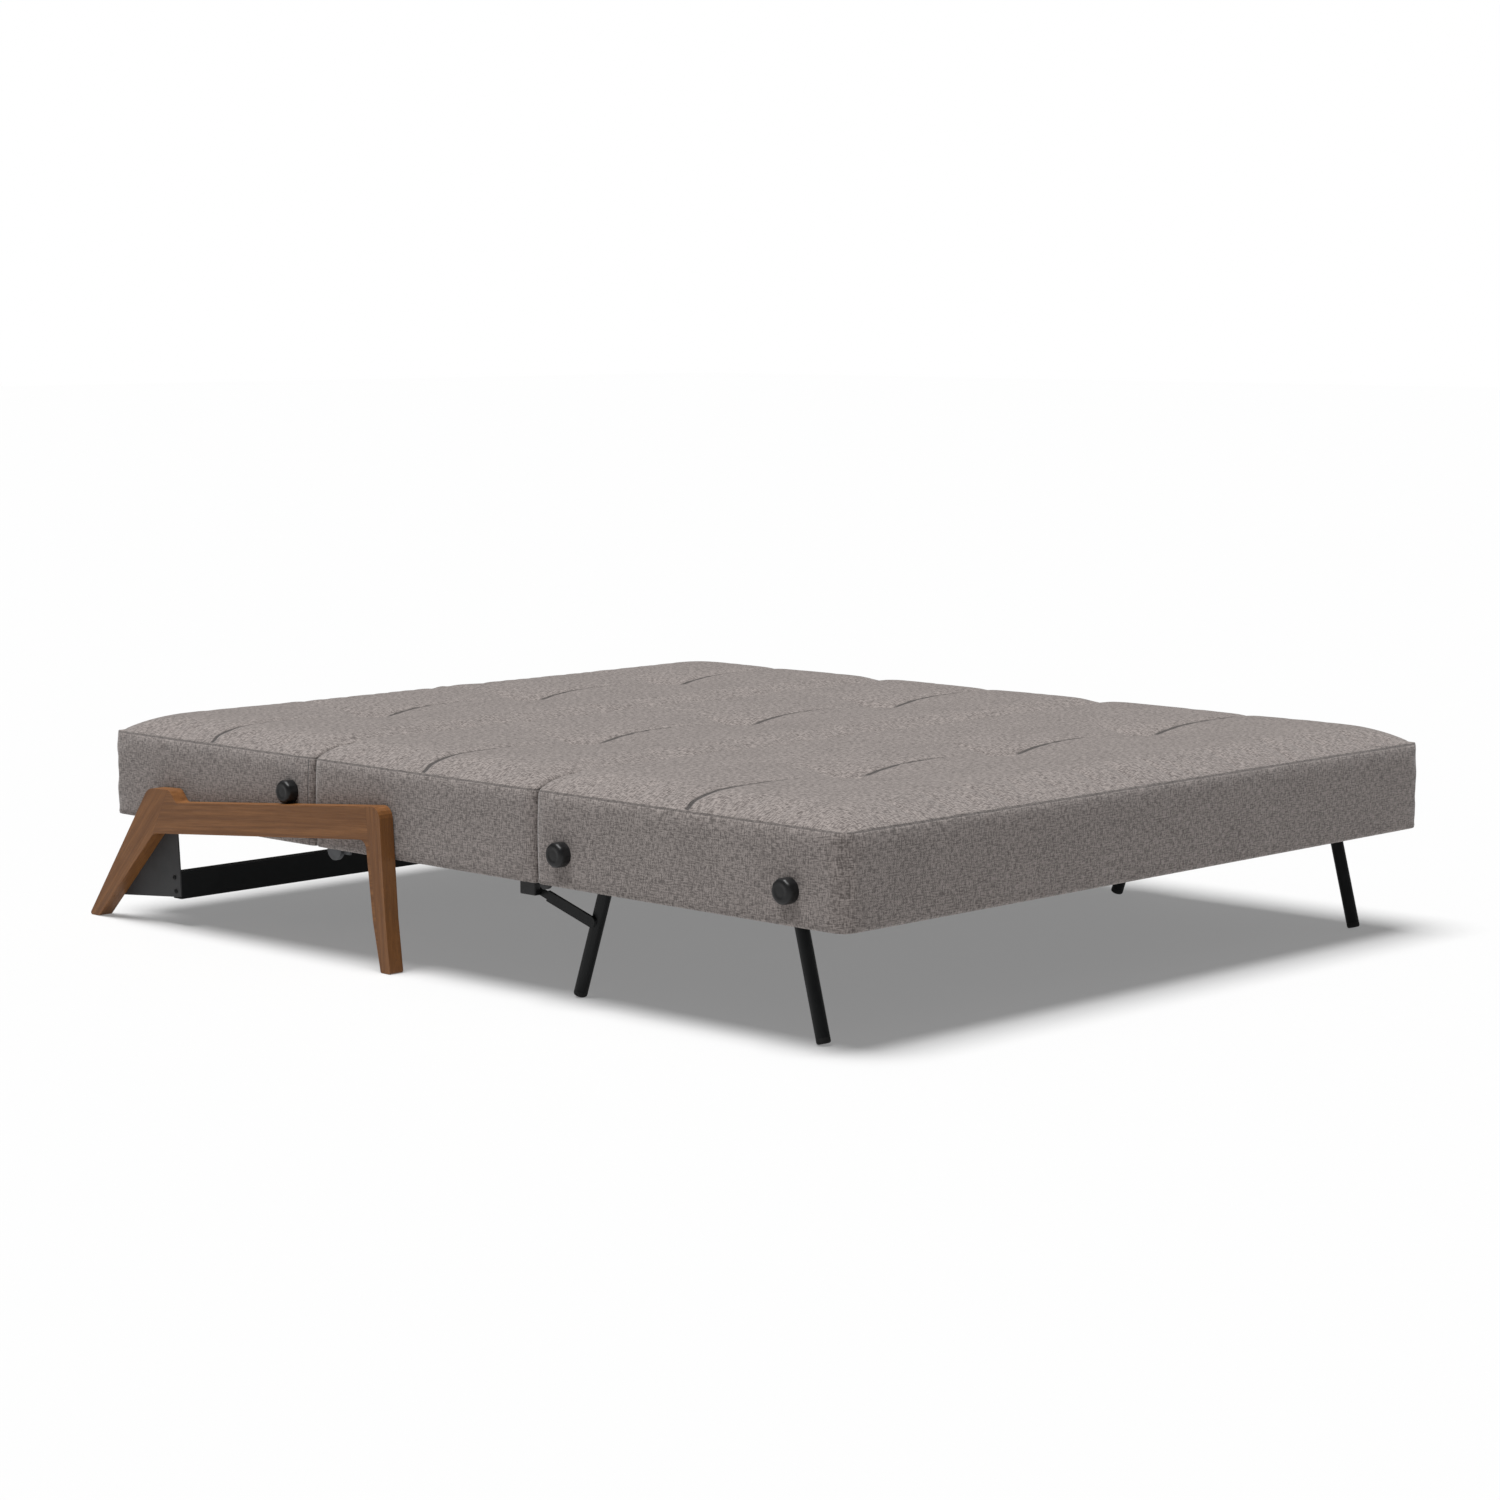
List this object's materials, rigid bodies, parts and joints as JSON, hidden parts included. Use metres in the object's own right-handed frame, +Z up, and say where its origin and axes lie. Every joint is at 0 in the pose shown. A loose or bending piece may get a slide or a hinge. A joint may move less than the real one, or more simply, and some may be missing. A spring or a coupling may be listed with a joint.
{
  "type": "futon sofa bed",
  "caption": "Fold-out sofa bed laid flat: quilted mattress in hinged sections on a steel frame with folding legs and splayed walnut side frames.",
  "frame": {"origin": "on the floor, midway between the sides and midway between the foot end and the tips of the rear wooden feet", "axes": "+Y from the foot end to the head end, +X to the right seen from the foot end, +Z up"},
  "size_m": [1.736, 2.0309, 0.4],
  "materials": {
    "upholstery": "warm grey melange woven upholstery fabric over foam and springs",
    "walnut": "satin lacquered walnut",
    "black_steel": "satin black powder coat",
    "grey_steel": "dark grey powder coat",
    "black_plastic": "moulded black plastic",
    "grey_plastic": "moulded grey plastic",
    "rubber": "black rubber"
  },
  "bodies": {
    "base": {"side_frame_left": "walnut", "side_frame_right": "walnut", "gusset_left": "grey_steel", "gusset_right": "grey_steel", "rest_shelf_left": "rubber", "rest_shelf_right": "rubber", "rear_beam": "black_steel"},
    "seat": {"seat_cushion": "upholstery", "seat_front_tube": "black_steel", "seat_rear_tube": "black_steel", "seat_support_panel": "grey_steel", "seat_rail_left": "black_steel", "seat_rail_right": "black_steel", "seat_hinge_leaf_left": "grey_steel", "seat_hinge_leaf_right": "grey_steel", "fold_hinge_pin_left": "grey_steel", "fold_hinge_pin_right": "grey_steel", "pivot_arm_left": "grey_steel", "pivot_arm_right": "grey_steel", "seat_glide_left": "grey_plastic", "seat_glide_right": "grey_plastic", "hinge_block_left": "black_plastic", "hinge_block_right": "black_plastic", "pivot_knob_left": "black_plastic", "pivot_knob_right": "black_plastic"},
    "back": {"back_cushion": "upholstery", "back_pivot_tube": "black_steel", "back_head_tube": "black_steel", "back_support_panel": "grey_steel", "back_rail_left": "black_steel", "back_rail_right": "black_steel"},
    "foot": {"foot_cushion": "upholstery", "foot_end_tube": "black_steel", "foot_hinge_tube": "black_steel", "foot_support_panel": "grey_steel", "foot_rail_left": "black_steel", "foot_rail_right": "black_steel", "foot_hinge_leaf_left": "grey_steel", "foot_hinge_leaf_right": "grey_steel", "mid_leg_bracket_left": "grey_steel", "mid_leg_bracket_right": "grey_steel", "foot_leg_bracket_left": "grey_steel", "foot_leg_bracket_right": "grey_steel", "hinge_knob_left": "black_plastic", "hinge_knob_right": "black_plastic", "end_knob_left": "black_plastic", "end_knob_right": "black_plastic"},
    "mid_legs": {"mid_leg_axle": "black_steel", "mid_leg_left": "black_steel", "mid_leg_right": "black_steel", "mid_leg_foot_left": "rubber", "mid_leg_foot_right": "rubber"},
    "foot_legs": {"foot_leg_axle": "black_steel", "foot_leg_left": "black_steel", "foot_leg_right": "black_steel", "foot_leg_foot_left": "rubber", "foot_leg_foot_right": "rubber"},
    "stay_links": {"stay_link_left": "black_steel", "stay_link_right": "black_steel"}
  },
  "joints": [
    {"name": "seat_slide", "type": "slide", "parent": "base", "child": "seat", "axis": [0, 1, 0], "range_m": [0, 0.27]},
    {"name": "back_recline", "type": "hinge", "parent": "seat", "child": "back", "pos_m": [0, 0.40747, 0.3055], "axis": [1, 0, 0], "range_deg": [0, 70]},
    {"name": "foot_fold", "type": "hinge", "parent": "seat", "child": "foot", "pos_m": [0, -0.27453, 0.2045], "axis": [1, 0, 0], "range_deg": [0, 180]},
    {"name": "mid_leg_fold", "type": "hinge", "parent": "foot", "child": "mid_legs", "pos_m": [0, -0.39103, 0.2175], "axis": [1, 0, 0], "range_deg": [-110, 0]},
    {"name": "foot_leg_fold", "type": "hinge", "parent": "foot", "child": "foot_legs", "pos_m": [0, -0.85152, 0.2175], "axis": [1, 0, 0], "range_deg": [0, 106]},
    {"name": "stay_link_fold", "type": "hinge", "parent": "seat", "child": "stay_links", "pos_m": [0, -0.22453, 0.185], "axis": [1, 0, 0], "range_deg": [0, 168]}
  ],
  "couplings": [
    {"joint": "mid_leg_fold", "follows": "foot_fold", "ratio": -0.60556},
    {"joint": "foot_leg_fold", "follows": "foot_fold", "ratio": 0.58278},
    {"joint": "stay_link_fold", "follows": "foot_fold", "ratio": 0.92611}
  ]
}
